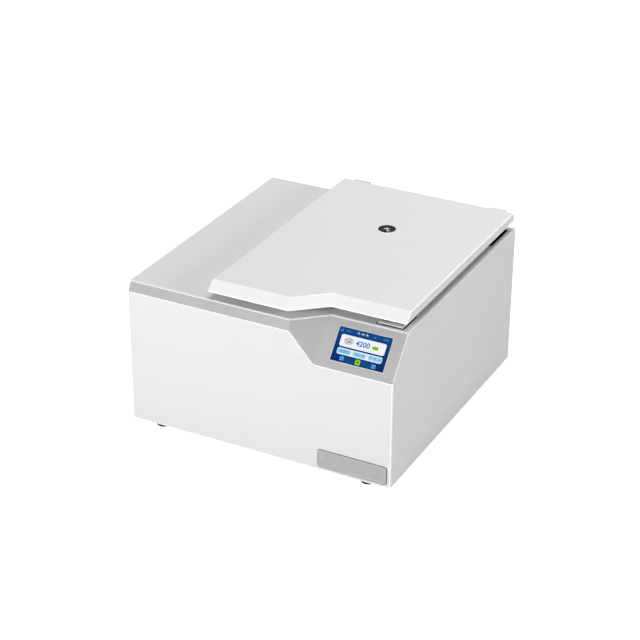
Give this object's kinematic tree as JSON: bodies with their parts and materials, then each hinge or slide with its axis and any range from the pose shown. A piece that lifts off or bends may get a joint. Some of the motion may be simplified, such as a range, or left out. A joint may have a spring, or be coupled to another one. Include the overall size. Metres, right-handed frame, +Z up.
{
  "type": "refrigerated centrifuge",
  "caption": "Bench refrigerated centrifuge: sheet-metal casing, hinged lid on gas struts, swing-out rotor in a cooled bowl, sloping touch console.",
  "frame": {"origin": "on the plane that the rubber feet stand on, under the middle of the overall box", "axes": "+Z up, the front panel faces -Y, and +X is to the right seen from the front"},
  "size_m": [0.6, 0.6315, 0.3671],
  "materials": {
    "cover_grey": "satin light-grey paint",
    "deck_white": "satin white paint",
    "panel_white": "satin white paint",
    "lid_white": "satin white paint",
    "zinc_sheet": "zinc-plated sheet",
    "stainless": "brushed stainless steel",
    "steel": "bright steel",
    "chrome_rod": "polished",
    "black_rubber": "matt rubber",
    "gasket_rubber": "matt rubber",
    "badge_satin": "satin anodised",
    "bezel_light": "satin anodised",
    "screen_glass": "glossy display glass",
    "board_green": "circuit board",
    "black_plastic": "matt moulded plastic",
    "dark_pad": "matt moulded plastic",
    "lock_grey": "satin light-grey paint",
    "foam": "cut insulating foam",
    "copper": "drawn copper tube",
    "black_paint": "gloss black paint",
    "rotor_alloy": "anodised",
    "bucket_alloy": "anodised",
    "fin_alloy": "bare fins",
    "motor_paint": "painted casting",
    "port_ring": "black moulded ring",
    "port_glass": "clear window",
    "plug_grey": "moulded lid liner",
    "rocker_black": "gloss moulded rocker"
  },
  "bodies": {
    "root": {"base_pan": "zinc_sheet", "front_panel": "panel_white", "left_side_panel": "panel_white", "right_side_panel": "panel_white", "rear_panel": "panel_white", "top_cover": "deck_white", "front_trim": "cover_grey", "partition_wall": "zinc_sheet", "rubber_feet": "black_rubber", "panel_screws": "steel", "badge_plate": "badge_satin", "display_bezel": "bezel_light", "touch_display": "screen_glass", "control_board": "board_green", "lock_pad": "dark_pad", "lock_plate": "lock_grey", "lock_housing": "black_plastic", "chamber_bowl": "stainless", "chamber_gasket": "gasket_rubber", "chamber_insulation": "foam", "evaporator_coil": "copper", "shaft_boot": "gasket_rubber", "hinge_leaves": "zinc_sheet", "hinge_pins": "steel", "strut_brackets": "zinc_sheet", "motor_housing": "motor_paint", "motor_plate": "zinc_sheet", "motor_bearings": "steel", "stator": "steel", "rubber_mounts": "black_rubber", "compressor": "black_paint", "condenser": "fin_alloy", "fan_frame": "black_plastic", "refrigerant_lines": "copper", "drive_board": "board_green", "power_inlet": "black_plastic", "switch_frame": "black_plastic"},
    "lid": {"lid_shell": "lid_white", "lid_base_plate": "zinc_sheet", "lid_plug": "plug_grey", "port_bezel": "port_ring", "port_windows": "port_glass", "lid_knuckles": "zinc_sheet", "strut_studs": "steel", "lid_hook": "steel"},
    "rotor": {"drive_shaft": "steel", "rotor_head": "rotor_alloy", "rotor_nut": "black_plastic"},
    "bucket_right": {"bucket_right": "bucket_alloy"},
    "bucket_back": {"bucket_back": "bucket_alloy"},
    "bucket_left": {"bucket_left": "bucket_alloy"},
    "bucket_front": {"bucket_front": "bucket_alloy"},
    "strut_left_cylinder": {"strut_cylinder_left": "black_paint"},
    "strut_left_rod": {"strut_rod_left": "chrome_rod"},
    "strut_right_cylinder": {"strut_cylinder_right": "black_paint"},
    "strut_right_rod": {"strut_rod_right": "chrome_rod"},
    "lock_bolt": {"lock_bolt": "steel"},
    "fan": {"fan_blades": "black_plastic"},
    "rocker": {"switch_rocker": "rocker_black"}
  },
  "joints": [
    {"name": "lid_hinge", "type": "hinge", "parent": "root", "child": "lid", "pos_m": [0.0897, 0.30925, 0.358], "axis": [-1, 0, 0], "range_deg": [0, 75]},
    {"name": "rotor_spin", "type": "hinge", "parent": "root", "child": "rotor", "pos_m": [0.0897, 0.10245, 0.278], "axis": [0, 0, 1], "continuous": true},
    {"name": "lock_bolt_slide", "type": "slide", "parent": "root", "child": "lock_bolt", "axis": [-1, 0, 0], "range_m": [0, 0.01]},
    {"name": "fan_spin", "type": "hinge", "parent": "root", "child": "fan", "pos_m": [-0.2285, -0.15875, 0.131], "axis": [1, 0, 0], "continuous": true},
    {"name": "power_rock", "type": "hinge", "parent": "root", "child": "rocker", "pos_m": [-0.17918, 0.29725, 0.072], "axis": [1, 0, 0], "range_deg": [0, 14]},
    {"name": "bucket_right_swing", "type": "hinge", "parent": "rotor", "child": "bucket_right", "pos_m": [0.17381, 0.10245, 0.278], "axis": [0, -1, 0], "range_deg": [0, 90]},
    {"name": "bucket_back_swing", "type": "hinge", "parent": "rotor", "child": "bucket_back", "pos_m": [0.0897, 0.18656, 0.278], "axis": [1, 0, 0], "range_deg": [0, 90]},
    {"name": "bucket_left_swing", "type": "hinge", "parent": "rotor", "child": "bucket_left", "pos_m": [0.00559, 0.10245, 0.278], "axis": [0, 1, 0], "range_deg": [0, 90]},
    {"name": "bucket_front_swing", "type": "hinge", "parent": "rotor", "child": "bucket_front", "pos_m": [0.0897, 0.01834, 0.278], "axis": [-1, 0, 0], "range_deg": [0, 90]},
    {"name": "strut_left_pivot", "type": "hinge", "parent": "lid", "child": "strut_left_cylinder", "pos_m": [-0.0996, 0.22925, 0.339], "axis": [1, 0, 0], "range_deg": [0, 64.3]},
    {"name": "strut_left_slide", "type": "slide", "parent": "strut_left_cylinder", "child": "strut_left_rod", "axis": [0, 0.1414, -0.9899], "range_m": [0, 0.0897]},
    {"name": "strut_right_pivot", "type": "hinge", "parent": "lid", "child": "strut_right_cylinder", "pos_m": [0.279, 0.22925, 0.339], "axis": [1, 0, 0], "range_deg": [0, 64.3]},
    {"name": "strut_right_slide", "type": "slide", "parent": "strut_right_cylinder", "child": "strut_right_rod", "axis": [0, 0.1414, -0.9899], "range_m": [0, 0.0897]}
  ],
  "couplings": [
    {"joint": "strut_left_pivot", "follows": "lid_hinge", "ratio": 0.85721},
    {"joint": "strut_left_slide", "follows": "lid_hinge", "m_per_rad": 0.068494},
    {"joint": "strut_right_pivot", "follows": "lid_hinge", "ratio": 0.85721},
    {"joint": "strut_right_slide", "follows": "lid_hinge", "m_per_rad": 0.068494}
  ]
}
